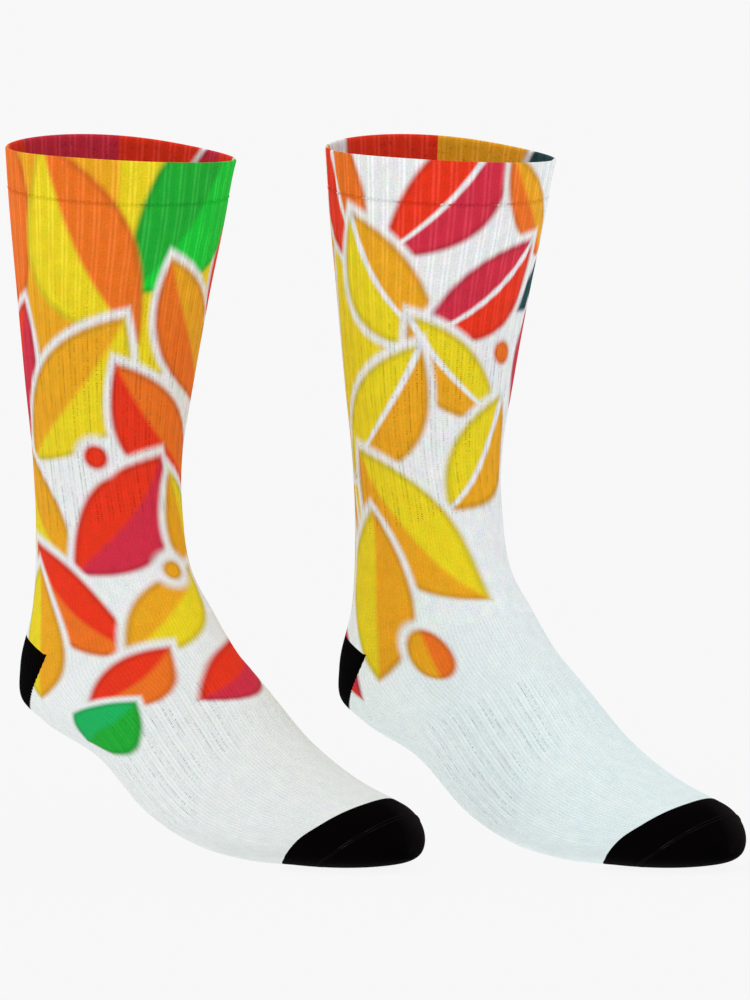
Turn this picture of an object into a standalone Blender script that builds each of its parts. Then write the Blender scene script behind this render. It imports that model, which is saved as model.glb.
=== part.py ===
"""A pair of printed crew socks, filled out as on a pointed foot.

Both socks are knitted to one pattern.  Each is a tube of cloth that runs from a
turned cuff, down a ribbed leg and a plain ankle, round a reciprocated heel and
along the foot to a closed toe.  Lengths are in millimetres and angles in
degrees until a mesh is made.  X points to the toes, Z up, and the origin is the
centre of the first sock's leg opening.
"""

import math
from collections import namedtuple

import bmesh
import bpy
import numpy as np

# ---------------------------------------------------------------- dimensions

METRES = 0.001              # one millimetre
WALL = 1.5                  # knitted cloth, plain or through a rib
CUFF_WALL = 2.2             # the cuff is turned, so it is two layers thick
SEAM_GAP = 0.3              # between two pieces of the same tube
RIBS = 40                   # round the cuff and the leg
RIB_RISE = 0.5              # from the furrow to the rib
RIM_ROUND = 0.6             # how far the folded edge of the cuff turns in
OPENING_HEIGHT = 341.0      # leg opening above the underside of the toes
TIP_X = 188.5               # foremost point of the toe
TIP_HEIGHT = 8.0
TOE_BLUNTNESS = 2.2         # 2 is a true ellipse from cap edge to tip
TRUE_ELLIPSE = 2.0
FLAT_SOLE_DROP = 0.17       # the widest line lies lower where the sole is flat
FLAT_SOLE_SQUARENESS = 0.7  # and the sole's half of the ring is squarer
RIM_PULL = 1.4              # the soft rim sits a little lower on one side,
RIM_TWIST = 1.6             # and is a little out of flat
HEEL_HALF_ANGLE = 72.0      # from the back of the heel to its corner
HEEL_LINE = 7.05            # ring on which the heel's two corners lie
HEEL_RISE = 0.55            # rings that the heel reaches up from its corners
HEEL_DROP = 1.45            # rings that it reaches down
HEEL_TOP_FULLNESS = 3       # higher is flatter at the back, steeper at the corners
HEEL_BOTTOM_FULLNESS = 5
HEEL_CORNER_INSET = 0.5     # degrees by which a corner stops short
TOE_SEAM_RISE = 0.7         # linked seam over the toes
TOE_SEAM_REACH = 0.35       # how far down the sides it runs, 0 is half way
PAIR_DISTANCE = 156.0       # from one leg opening to the other
PAIR_DIRECTION = 42.0       # of the second sock, turned from the toe direction

# Rings round the tube, from the cuff to the toe.  Each passes through a front
# and a back point of the sock's middle plane: over the foot these are its top
# and its sole.  Heights are above the underside of the toes.
Section = namedtuple(
    "Section", "front_x front_height back_x back_height half_width sole_flatness"
)
SECTIONS = (
    Section(55.5, 336.5, -56.5, 345.0, 56.0, 0.0),      # leg opening
    Section(52.5, 318.0, -55.5, 324.0, 54.0, 0.0),      # foot of the cuff
    Section(40.5, 269.0, -50.5, 270.5, 48.5, 0.0),      # calf
    Section(33.5, 229.5, -48.0, 227.0, 42.0, 0.0),      # shin
    Section(29.5, 193.5, -46.5, 185.5, 34.5, 0.0),      # lower leg
    Section(32.5, 168.5, -48.0, 148.5, 29.5, 0.0),      # end of the ribs
    Section(39.5, 139.0, -51.5, 114.0, 28.5, 0.0),      # ankle
    Section(54.5, 119.0, -60.0, 84.5, 31.0, 0.0),       # bend of the instep
    Section(62.5, 109.5, -59.0, 69.5, 31.0, 0.1),       # back of the heel
    Section(69.0, 101.5, -43.0, 59.0, 32.0, 0.2),       # under the heel
    Section(77.0, 93.5, -3.5, 43.5, 33.5, 0.4),         # arch
    Section(89.0, 82.0, 34.0, 18.0, 37.5, 0.6),         # middle of the foot
    Section(109.5, 62.0, 71.0, 5.5, 42.0, 0.9),         # ball of the foot
    Section(141.5, 44.0, 105.0, 0.5, 40.5, 1.0),        # tread
    Section(172.5, 33.5, 131.5, 0.0, 36.0, 0.9),        # edge of the toe cap
)
OPENING, CUFF_FOOT, RIB_END = 0, 1, 5
TOE_EDGE = len(SECTIONS) - 1
FOLD_RING = OPENING + 0.06          # where the folded rim is full
TOE_FIRST_RING = TOE_EDGE + 0.16
TOE_SEAM = TOE_EDGE + 0.36
TOE_SEAM_HALF = 0.05                # rings from the seam's crest to its foot
TOE_LAST_RING = TOE_EDGE + 0.93

CUFF_ROWS = 2
LEG_ROWS = 6
ANKLE_ROWS = 4
HEEL_ROWS = 5
FOOT_ROWS = 10
TOE_TIP_ROWS = 3
COLUMNS = RIBS              # plain cloth has one column for each rib
RIB_COLUMNS = 3             # ribbed cloth has three for each rib
SMALL_STEP = 0.001          # rings or radians between points that give a slope
SHARP_ANGLE = 50.0          # an edge that turns more than this isn't smoothed
MERGE_DISTANCE = 0.001


# --------------------------------------------------------------- the surface

RINGS = np.array(SECTIONS)
RING_GAPS = np.sqrt((np.diff(RINGS[:, :4], axis=0) ** 2).sum(axis=1))


def ring_slopes():
    """How fast each column of the table changes along the tube, at each ring."""
    steps = np.diff(RINGS, axis=0) / RING_GAPS[:, None]
    before, after = RING_GAPS[:-1, None], RING_GAPS[1:, None]
    slopes = np.empty_like(RINGS)
    slopes[1:-1] = (after * steps[:-1] + before * steps[1:]) / (before + after)
    slopes[0] = steps[0]
    slopes[-1] = steps[-1]
    return slopes


RING_SLOPES = ring_slopes()


def tube_section(ring):
    """The table read smoothly between its rows, up to the edge of the toe cap."""
    row = np.clip(ring.astype(int), 0, TOE_EDGE - 1)
    u = np.clip(ring - row, 0.0, 1.0)[..., None]
    gap = RING_GAPS[row][..., None]
    return (
        (2 * u**3 - 3 * u**2 + 1) * RINGS[row]
        + (u**3 - 2 * u**2 + u) * gap * RING_SLOPES[row]
        + (3 * u**2 - 2 * u**3) * RINGS[row + 1]
        + (u**3 - u**2) * gap * RING_SLOPES[row + 1]
    )


def toe_section(ring):
    """Blunt quarter ellipses from the edge of the toe cap to the tip of the toe."""
    edge, slope = RINGS[TOE_EDGE], RING_SLOPES[TOE_EDGE]
    tip = np.array([TIP_X, TIP_HEIGHT, TIP_X, TIP_HEIGHT, 0.0, 0.0])
    over = (TIP_X - edge[0]) / slope[0]
    under = (TIP_X - edge[2]) / slope[2]
    side = (2 * TIP_X - edge[0] - edge[2]) / (slope[0] + slope[2])
    centre = tip - slope * np.array([over, over, under, under, side, 0.0])
    turn = np.clip(ring - TOE_EDGE, 0.0, 1.0)[..., None] * math.pi / 2
    from_edge = np.cos(turn) ** (2 / TOE_BLUNTNESS)
    to_tip = np.sin(turn) ** (2 / TOE_BLUNTNESS)
    return centre + (edge - centre) * from_edge + (tip - centre) * to_tip


def power(value, exponent):
    """A power that keeps the sign of its value."""
    return np.sign(value) * np.abs(value) ** exponent


def outline(ring, angle):
    """Points of the outer surface; angle 0 is the front or top, 180 the back."""
    ring, angle = np.broadcast_arrays(ring, np.radians(angle))
    past_edge = (ring > TOE_EDGE)[..., None]
    section = np.where(past_edge, toe_section(ring), tube_section(ring))
    front_x, front_z, back_x, back_z, half_width, flatness = np.moveaxis(section, -1, 0)
    cosine, sine = np.cos(angle), np.sin(angle)
    widest = 0.5 - FLAT_SOLE_DROP * flatness
    squarer = np.where(cosine > 0, 0.0, FLAT_SOLE_SQUARENESS * flatness)
    exponent = 2 / (TRUE_ELLIPSE + squarer)
    reach = np.where(cosine > 0, 1.0 - widest, widest)
    rise = widest + reach * power(cosine, exponent)
    near_rim = np.clip(CUFF_FOOT - ring, 0.0, 1.0) ** 2
    sag = near_rim * (RIM_PULL * sine + RIM_TWIST * np.sin(2 * angle))
    x = back_x + rise * (front_x - back_x)
    y = half_width * power(sine, exponent)
    z = back_z + rise * (front_z - back_z) - sag - OPENING_HEIGHT
    return np.stack([x, y, z], axis=-1)


def cloth(ring, angle, outward=0.0):
    """Points at a distance from the outer surface, square to it."""
    ahead, behind = ring + SMALL_STEP, ring - SMALL_STEP
    along = outline(ahead, angle) - outline(behind, angle)
    degree = math.degrees(SMALL_STEP)
    across = outline(ring, angle + degree) - outline(ring, angle - degree)
    normal = np.cross(along, across)
    normal /= np.linalg.norm(normal, axis=-1, keepdims=True)
    return outline(ring, angle) + normal * np.asarray(outward)[..., None]


def shifted(ring, angle, distance):
    """The ring position a distance further along the tube, at an angle."""
    step = math.copysign(SMALL_STEP, distance)
    along = outline(ring + step, angle) - outline(ring, angle)
    return ring + distance * SMALL_STEP / np.linalg.norm(along, axis=-1)


def heel_share(angle, exponent):
    """1 at the back of the heel, 0 at its corners and round the instep."""
    from_back = np.abs((angle % 360.0) - 180.0) / HEEL_HALF_ANGLE
    return 1.0 - np.clip(from_back, 0.0, 1.0) ** exponent


def heel_top(angle):
    return HEEL_LINE - HEEL_RISE * heel_share(angle, HEEL_TOP_FULLNESS)


def heel_bottom(angle):
    return HEEL_LINE + HEEL_DROP * heel_share(angle, HEEL_BOTTOM_FULLNESS)


# ------------------------------------------------------------------ the mesh

def around(columns):
    return np.arange(columns) * 360.0 / columns


def rows_between(start, end, count):
    """Ring positions in even steps between two edges, a row for each step."""
    share = np.linspace(0.0, 1.0, count + 1)[:, None]
    return (1 - share) * start + share * end


def add_rows(mesh, points):
    return [[mesh.verts.new(point) for point in row] for row in points]


def skin(mesh, rows, closed, facing_out):
    """Quads between neighbouring rows of vertices."""
    count = len(rows[0])
    for upper, lower in zip(rows, rows[1:]):
        for i in range(count if closed else count - 1):
            j = (i + 1) % count
            corners = [upper[i], lower[i], lower[j], upper[j]]
            mesh.faces.new(corners if facing_out else corners[::-1])


def edge_face(mesh, outer, inner, facing_out):
    """Close the cloth's edge; the outer row may be the finer one."""
    ratio = len(outer) // len(inner)
    count = len(inner)
    for i in range(count):
        j = (i + 1) % count
        fine = [outer[(i * ratio + k) % len(outer)] for k in range(ratio + 1)]
        corners = fine + [inner[j], inner[i]]
        mesh.faces.new(corners if facing_out else corners[::-1])


def knit_material(name, colour):
    material = bpy.data.materials.new(name)
    material.use_nodes = True
    shader = material.node_tree.nodes["Principled BSDF"]
    shader.inputs["Base Color"].default_value = (*colour, 1.0)
    shader.inputs["Roughness"].default_value = 0.85
    shader.inputs["Metallic"].default_value = 0.0
    return material


def finish(mesh, name, sock, colour):
    """Turn a closed piece of cloth into an object on its sock."""
    bmesh.ops.scale(mesh, vec=(METRES,) * 3, verts=mesh.verts)
    data = bpy.data.meshes.new(name)
    mesh.to_mesh(data)
    mesh.free()
    data.shade_smooth()
    data.set_sharp_from_angle(angle=math.radians(SHARP_ANGLE))
    data.materials.append(knit_material(name, colour))
    piece = bpy.data.objects.new(name, data)
    bpy.context.collection.objects.link(piece)
    piece.parent = sock
    return piece


def tube_piece(outer, inner):
    """A closed wall between an outer and an inner surface, open at both ends."""
    mesh = bmesh.new()
    outer_rows = add_rows(mesh, outer)
    inner_rows = add_rows(mesh, inner)
    skin(mesh, outer_rows, True, True)
    skin(mesh, inner_rows, True, False)
    edge_face(mesh, outer_rows[0], inner_rows[0], True)
    edge_face(mesh, outer_rows[-1], inner_rows[-1], False)
    return mesh


def rib_relief():
    """The outer surface goes in at the first of each rib's three columns."""
    in_furrow = np.arange(RIBS * RIB_COLUMNS) % RIB_COLUMNS == 0
    return np.where(in_furrow, -RIB_RISE, 0.0)


# ---------------------------------------------------------------- the pieces

def make_cuff(sock, prefix, colour):
    """A turned, ribbed band whose folded upper edge is rounded."""
    foot = shifted(np.array(float(CUFF_FOOT)), 0.0, -SEAM_GAP / 2)
    below_fold = rows_between(FOLD_RING, foot, CUFF_ROWS)[:, 0]
    rings = np.concatenate([[OPENING], below_fold])
    turned_in = np.where(rings == OPENING, RIM_ROUND, 0.0)[:, None]
    outer_angles = around(RIBS * RIB_COLUMNS)
    outer = cloth(rings[:, None], outer_angles, rib_relief() - turned_in)
    inner = cloth(rings[:, None], around(COLUMNS), turned_in - CUFF_WALL)
    return finish(tube_piece(outer, inner), prefix + "cuff", sock, colour)


def make_leg(sock, prefix, colour):
    """The ribbed tube from the cuff to the end of the ribs."""
    top = shifted(np.array(float(CUFF_FOOT)), 0.0, SEAM_GAP / 2)
    end = shifted(np.array(float(RIB_END)), 0.0, -SEAM_GAP / 2)
    rings = rows_between(top, end, LEG_ROWS)
    outer = cloth(rings, around(RIBS * RIB_COLUMNS), rib_relief())
    inner = cloth(rings, around(COLUMNS), -WALL)
    return finish(tube_piece(outer, inner), prefix + "leg", sock, colour)


def plain_tube(start, end, rows):
    angles = around(COLUMNS)
    first = shifted(start(angles), angles, SEAM_GAP / 2)
    last = shifted(end(angles), angles, -SEAM_GAP / 2)
    rings = rows_between(first, last, rows)
    return tube_piece(cloth(rings, angles), cloth(rings, angles, -WALL))


def make_ankle(sock, prefix, colour):
    """Plain cloth from the ribs to the heel's upper edge and the instep."""
    mesh = plain_tube(lambda angles: RIB_END + 0.0 * angles, heel_top, ANKLE_ROWS)
    return finish(mesh, prefix + "ankle", sock, colour)


def make_foot(sock, prefix, colour):
    """Plain cloth from the heel's lower edge and the instep to the toe cap."""
    mesh = plain_tube(heel_bottom, lambda angles: TOE_EDGE + 0.0 * angles, FOOT_ROWS)
    return finish(mesh, prefix + "foot", sock, colour)


def make_heel(sock, prefix, colour):
    """A pouch between two curved edges that meet at a corner on each side."""
    column = 360.0 / COLUMNS
    reach = round(HEEL_HALF_ANGLE / column)
    angles = 180.0 + np.arange(-reach, reach + 1) * column
    angles[0] += HEEL_CORNER_INSET
    angles[-1] -= HEEL_CORNER_INSET
    upper = shifted(heel_top(angles), angles, SEAM_GAP / 2)
    lower = shifted(heel_bottom(angles), angles, -SEAM_GAP / 2)
    for end in (0, -1):
        upper[end] = lower[end] = (upper[end] + lower[end]) / 2
    rings = rows_between(upper, lower, HEEL_ROWS)
    mesh = bmesh.new()
    outer_rows = add_rows(mesh, cloth(rings, angles))
    inner_rows = add_rows(mesh, cloth(rings, angles, -WALL))
    skin(mesh, outer_rows, False, True)
    skin(mesh, inner_rows, False, False)
    skin(mesh, [inner_rows[0], outer_rows[0]], False, True)
    skin(mesh, [outer_rows[-1], inner_rows[-1]], False, True)
    bmesh.ops.remove_doubles(mesh, verts=mesh.verts, dist=MERGE_DISTANCE)
    return finish(mesh, prefix + "heel", sock, colour)


def make_toe(sock, prefix, colour):
    """A closed cap with the linked seam as a low ridge over the toes."""
    angles = around(COLUMNS)
    edge = shifted(np.full(COLUMNS, float(TOE_EDGE)), angles, SEAM_GAP)
    past_seam = rows_between(TOE_SEAM + TOE_SEAM_HALF, TOE_LAST_RING, TOE_TIP_ROWS)[:, 0]
    before_seam = [TOE_FIRST_RING, TOE_SEAM - TOE_SEAM_HALF, TOE_SEAM]
    rest = np.concatenate([before_seam, past_seam])
    rings = np.vstack([edge, np.repeat(rest[:, None], COLUMNS, axis=1)])
    over_toes = np.clip(np.cos(np.radians(angles)) + TOE_SEAM_REACH, 0.0, 1.0)
    relief = np.where(rings == TOE_SEAM, TOE_SEAM_RISE * over_toes, 0.0)
    mesh = bmesh.new()
    outer_rows = add_rows(mesh, cloth(rings, angles, relief))
    inner_rows = add_rows(mesh, cloth(rings, angles, -WALL))
    skin(mesh, outer_rows, True, True)
    skin(mesh, inner_rows, True, False)
    edge_face(mesh, outer_rows[0], inner_rows[0], True)
    tips = [mesh.faces.new(outer_rows[-1][::-1]), mesh.faces.new(inner_rows[-1])]
    bmesh.ops.poke(mesh, faces=tips)
    return finish(mesh, prefix + "toe", sock, colour)


# ------------------------------------------------------------------ the pair

Sock = namedtuple("Sock", "name distance print_colour foot_colour")
SOCKS = (
    Sock("sock_1", 0.0, (0.80, 0.18, 0.03), (0.78, 0.81, 0.81)),
    Sock("sock_2", PAIR_DISTANCE, (0.80, 0.52, 0.03), (0.74, 0.82, 0.81)),
)
BLACK_YARN = (0.006, 0.006, 0.006)

for old in list(bpy.data.objects):
    bpy.data.objects.remove(old, do_unlink=True)

for pattern in SOCKS:
    direction = math.radians(PAIR_DIRECTION)
    placed = bpy.data.objects.new(pattern.name, None)
    placed.location = (
        pattern.distance * METRES * math.cos(direction),
        pattern.distance * METRES * math.sin(direction),
        0.0,
    )
    bpy.context.collection.objects.link(placed)
    node = pattern.name + "_"
    make_cuff(placed, node, pattern.print_colour)
    make_leg(placed, node, pattern.print_colour)
    make_ankle(placed, node, pattern.print_colour)
    make_heel(placed, node, BLACK_YARN)
    make_foot(placed, node, pattern.foot_colour)
    make_toe(placed, node, BLACK_YARN)
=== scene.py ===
import math
from collections import namedtuple

import bpy
import numpy as np
from mathutils import Matrix, Vector


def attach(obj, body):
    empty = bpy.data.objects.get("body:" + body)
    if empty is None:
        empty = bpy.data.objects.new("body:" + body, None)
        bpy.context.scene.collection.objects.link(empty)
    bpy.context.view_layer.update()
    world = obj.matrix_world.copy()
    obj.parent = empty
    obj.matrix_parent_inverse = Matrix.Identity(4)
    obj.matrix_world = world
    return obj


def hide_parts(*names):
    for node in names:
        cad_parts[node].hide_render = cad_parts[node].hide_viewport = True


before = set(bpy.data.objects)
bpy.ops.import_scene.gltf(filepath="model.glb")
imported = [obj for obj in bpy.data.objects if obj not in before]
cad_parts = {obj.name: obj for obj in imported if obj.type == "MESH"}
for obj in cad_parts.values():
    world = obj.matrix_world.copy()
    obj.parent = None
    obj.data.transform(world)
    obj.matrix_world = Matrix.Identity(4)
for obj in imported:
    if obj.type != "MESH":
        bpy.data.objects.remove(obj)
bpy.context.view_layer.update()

# ------------------------------------------------------------------ the cuffs
# The top of each sock is a double band of white yarn, knitted two ribs up and two
# down, folded over and linked to the leg.  The print runs over it; on the inside it
# is drawn a little darker, in specks, as painted shade where the band turns down
# behind the fold.

METRES = 0.001  # one millimetre
OPENING_HEIGHT = 341.0  # leg opening above the underside of the toes
RIM_PULL = 1.4  # the soft rim sits a little lower on one side,
RIM_TWIST = 1.6  # and is a little out of flat,
RIM_LIFT = 2.0  # with its front corner standing up
RIM_LIFT_ANGLE, RIM_LIFT_SHARPNESS = 25.0, 2.5
RIM_FLARE = 1.1  # and leaning outwards
RIM_FLARE_ANGLE, RIM_FLARE_SHARPNESS = 42.0, 4
TRUE_ELLIPSE = 2.0
FLAT_SOLE_DROP = 0.17  # the widest line lies lower where the sole is flat
FLAT_SOLE_SQUARENESS = 0.7  # and the sole's half of the ring is squarer
TIP_X, TIP_HEIGHT = 188.5, 8.0
TOE_BLUNTNESS = 2.2

# Rings round the tube, from the cuff to the toe: x and height of a front and a back
# point of the middle plane, which over the foot are the top and the sole, then the
# half width and how flat the sole is.
RINGS = np.array((
    (55.5, 336.5, -56.5, 345.0, 56.0, 0.0),      # leg opening
    (52.5, 318.0, -55.5, 324.0, 54.0, 0.0),      # foot of the cuff
    (40.5, 269.0, -50.5, 270.5, 48.5, 0.0),      # calf
    (33.5, 229.5, -48.0, 227.0, 42.0, 0.0),      # shin
    (29.5, 193.5, -46.5, 185.5, 34.5, 0.0),      # lower leg
    (32.5, 168.5, -48.0, 148.5, 29.5, 0.0),      # end of the ribs
    (39.5, 139.0, -51.5, 114.0, 28.5, 0.0),      # ankle
    (54.5, 119.0, -60.0, 84.5, 31.0, 0.0),       # bend of the instep
    (62.5, 109.5, -59.0, 69.5, 31.0, 0.1),       # back of the heel
    (69.0, 101.5, -43.0, 59.0, 32.0, 0.2),       # under the heel
    (77.0, 93.5, -3.5, 43.5, 33.5, 0.4),         # arch
    (89.0, 82.0, 34.0, 18.0, 37.5, 0.6),         # middle of the foot
    (109.5, 62.0, 71.0, 5.5, 42.0, 0.9),         # ball of the foot
    (141.5, 44.0, 105.0, 0.5, 40.5, 1.0),        # tread
    (172.5, 33.5, 131.5, 0.0, 36.0, 0.9),        # edge of the toe cap
))
OPENING, CUFF_FOOT, RIB_END, HEEL_BACK = 0.0, 1.0, 5.0, 8
TOE_EDGE = len(RINGS) - 1
TOE_TIP = TOE_EDGE + 1.0

RING_GAPS = np.sqrt((np.diff(RINGS[:, :4], axis=0) ** 2).sum(axis=1))
ring_steps = np.diff(RINGS, axis=0) / RING_GAPS[:, None]
before, after = RING_GAPS[:-1, None], RING_GAPS[1:, None]
middle_slopes = (after * ring_steps[:-1] + before * ring_steps[1:]) / (before + after)
RING_SLOPES = np.vstack([ring_steps[:1], middle_slopes, ring_steps[-1:]])


def held(value):
    """A value kept between 0 and 1."""
    return np.clip(value, 0.0, 1.0)


def tube_section(ring):
    """The table read smoothly between its rows, up to the edge of the toe cap."""
    row = np.clip(ring.astype(int), 0, TOE_EDGE - 1)
    u = held(ring - row)[..., None]
    gap = RING_GAPS[row][..., None]
    return (
        (2 * u**3 - 3 * u**2 + 1) * RINGS[row]
        + (u**3 - 2 * u**2 + u) * gap * RING_SLOPES[row]
        + (3 * u**2 - 2 * u**3) * RINGS[row + 1]
        + (u**3 - u**2) * gap * RING_SLOPES[row + 1]
    )


def toe_section(ring):
    """Blunt quarter ellipses from the edge of the toe cap to the tip of the toe."""
    edge, slope = RINGS[TOE_EDGE], RING_SLOPES[TOE_EDGE]
    tip = np.array([TIP_X, TIP_HEIGHT, TIP_X, TIP_HEIGHT, 0.0, 0.0])
    over = (TIP_X - edge[0]) / slope[0]
    under = (TIP_X - edge[2]) / slope[2]
    side = (2 * TIP_X - edge[0] - edge[2]) / (slope[0] + slope[2])
    centre = tip - slope * np.array([over, over, under, under, side, 0.0])
    turn = held(ring - TOE_EDGE)[..., None] * math.pi / 2
    from_edge = np.cos(turn) ** (2 / TOE_BLUNTNESS)
    to_tip = np.sin(turn) ** (2 / TOE_BLUNTNESS)
    return centre + (edge - centre) * from_edge + (tip - centre) * to_tip


def power(value, exponent):
    """A power that keeps the sign of its value."""
    return np.sign(value) * np.abs(value) ** exponent


def towards(angle, middle, sharpness):
    """1 at the middle angle, falling to 0 a quarter turn away."""
    return held(np.cos(angle - middle)) ** sharpness


def outline(ring, angle):
    """Points of the outer surface; angle 0 is the front or top, 180 the back."""
    ring, angle = np.broadcast_arrays(ring, np.radians(angle))
    past_edge = (ring > TOE_EDGE)[..., None]
    section = np.where(past_edge, toe_section(ring), tube_section(ring))
    front_x, front_z, back_x, back_z, half_width, flatness = np.moveaxis(section, -1, 0)
    cosine, sine = np.cos(angle), np.sin(angle)
    widest = 0.5 - FLAT_SOLE_DROP * flatness
    squarer = np.where(cosine > 0, 0.0, FLAT_SOLE_SQUARENESS * flatness)
    exponent = 2 / (TRUE_ELLIPSE + squarer)
    rise = widest + np.where(cosine > 0, 1.0 - widest, widest) * power(cosine, exponent)
    near_rim = held(CUFF_FOOT - ring) ** 2
    lift = RIM_LIFT * towards(angle, math.radians(RIM_LIFT_ANGLE), RIM_LIFT_SHARPNESS)
    sag = RIM_PULL * sine + RIM_TWIST * np.sin(2 * angle) - lift
    flare_way = math.radians(RIM_FLARE_ANGLE)
    flare = near_rim * RIM_FLARE * towards(angle, flare_way, RIM_FLARE_SHARPNESS)
    x = back_x + rise * (front_x - back_x) + flare * math.cos(flare_way)
    y = half_width * power(sine, exponent) + flare * math.sin(flare_way)
    z = back_z + rise * (front_z - back_z) - near_rim * sag - OPENING_HEIGHT
    return np.stack([x, y, z], axis=-1)


SLOPE_STEP = 0.001  # rings, and radians, over which a slope is measured


def outward_of(ring, angle):
    """The direction that faces out of the cloth."""
    ahead, behind = ring + SLOPE_STEP, ring - SLOPE_STEP
    along = outline(np.minimum(ahead, TOE_TIP), angle) - outline(behind, angle)
    turned = math.degrees(SLOPE_STEP)
    across = outline(ring, angle + turned) - outline(ring, angle - turned)
    normal = np.cross(along, across)
    length = np.linalg.norm(normal, axis=-1, keepdims=True)
    return np.where(length > 0, normal / np.maximum(length, 1e-12), (1.0, 0.0, 0.0))


# The knitting is counted in wales round the tube and courses along it.
WALES = 160  # four to each rib: two up and two down
WALE_ANGLE = 360.0 / WALES
WALE_COLUMNS = 4  # columns of mesh to a wale
COLUMNS = WALES * WALE_COLUMNS
SEAM_ANGLE = 59 * WALE_ANGLE  # the print's two ends meet at the inner back
PRINT_MIDDLE = SEAM_ANGLE + 180.0
COURSE = 1.12  # height of a stitch in mm
FINE_RINGS = np.linspace(OPENING, TOE_TIP, 601)


def around(columns):
    """Angles of the columns, once round from the seam, the first one repeated."""
    return SEAM_ANGLE + np.arange(columns + 1) * 360.0 / columns


def walked_along(ring, angle, start):
    """Distance in mm along each wale, from a start ring, for a grid of rings."""
    path = outline(FINE_RINGS[:, None], angle)
    steps = np.linalg.norm(np.diff(path, axis=0), axis=-1)
    walked = np.vstack([np.zeros(len(angle)), np.cumsum(steps, axis=0)])
    start = np.broadcast_to(start, angle.shape)
    reached = []
    for column in range(len(angle)):
        there = np.interp(ring[:, column], FINE_RINGS, walked[:, column])
        begun = np.interp(start[column], FINE_RINGS, walked[:, column])
        reached.append(there - begun)
    return np.stack(reached, axis=-1)


def walked_round(ring, angle):
    """Distance in mm round the tube, from the middle of the print."""
    steps = np.linalg.norm(np.diff(outline(ring, angle), axis=1), axis=-1)
    walked = np.concatenate([np.zeros((len(ring), 1)), np.cumsum(steps, axis=1)], axis=1)
    middle = np.argmin(np.abs(angle - PRINT_MIDDLE))
    return walked - walked[:, middle : middle + 1]


def rows_between(start, end, count):
    """Ring positions in even steps between two edges."""
    share = np.linspace(0.0, 1.0, count + 1)[:, None]
    return (1 - share) * start + share * end


POINT_FACTS = ("outward", "wale", "raised", "ribbed", "seam", "worn")


def skin_of(ring, angle, depth, course_start, raised=0.0, ribbed=0.0, seam=0.0, worn=0.0):
    """Points of one skin of the cloth, and what its knitting needs to know."""
    shape = (len(ring), len(angle))
    ring = np.broadcast_to(ring, shape)
    skin = {"wale": angle / WALE_ANGLE, "raised": raised, "ribbed": ribbed, "seam": seam, "worn": worn}
    skin = {key: np.broadcast_to(value, shape) for key, value in skin.items()}
    skin["outward"] = outward_of(ring, angle)
    sunk = skin["outward"] * np.broadcast_to(depth, shape)[..., None]
    skin["points"] = (outline(ring, angle) - sunk) * METRES
    course = walked_along(ring, angle, course_start) / COURSE
    skin["Knit"] = np.stack([skin["wale"], course], axis=-1)
    across = walked_round(ring, angle) * METRES
    down = walked_along(ring, angle, OPENING) * METRES
    skin["Print"] = np.stack([across, down], axis=-1)
    return skin


def store(mesh, facts):
    """Keep facts about its points on a mesh, for the trees and materials to read."""
    for key, values in facts.items():
        kind, field = "FLOAT", "value"
        if values.ndim == 2:
            kind, field = "FLOAT_VECTOR", "vector"
            values = np.pad(values, ((0, 0), (0, 3 - values.shape[1])))
        attribute = mesh.attributes.new(key, kind, "POINT")
        attribute.data.foreach_set(field, values.astype(np.float32).ravel())


def put_in_scene(name, data):
    new = bpy.data.objects.new(name, data)
    bpy.context.scene.collection.objects.link(new)
    return new


EDGE_SHARE = 0.02  # of the unrolled map, for each edge of the cloth
INSIDE_SHARE = 0.14  # of the unrolled map, for the inside


def unrolled(shape, top, bottom):
    """Where a skin lies on the map of the opened tube."""
    rows, columns = shape
    across, down = np.meshgrid(np.linspace(0.0, 1.0, columns), np.linspace(top, bottom, rows))
    return np.stack([across, down], axis=-1)


def quads(numbers, facing_out):
    """Corners of the quads between neighbouring rows of numbered points."""
    upper, lower = numbers[:-1], numbers[1:]
    corners = [upper[:, :-1], lower[:, :-1], lower[:, 1:], upper[:, 1:]]
    found = np.stack(corners, axis=-1).reshape(-1, 4)
    return (found if facing_out else found[:, ::-1]).tolist()


def edge_strip(outer, inner, facing_out):
    """Many-cornered faces that close the cloth's edge; the outer row is finer."""
    ratio = (len(outer) - 1) // (len(inner) - 1)
    faces = []
    for i in range(len(inner) - 1):
        fine = outer[i * ratio : (i + 1) * ratio + 1].tolist()
        corners = fine + [inner[i + 1], inner[i]]
        faces.append(corners if facing_out else corners[::-1])
    return faces


SHARP_ANGLE = 70.0  # only the cloth's own edges turn more than this
SAME_POINT = 4  # decimals of a mm to which two points are the same


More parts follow.
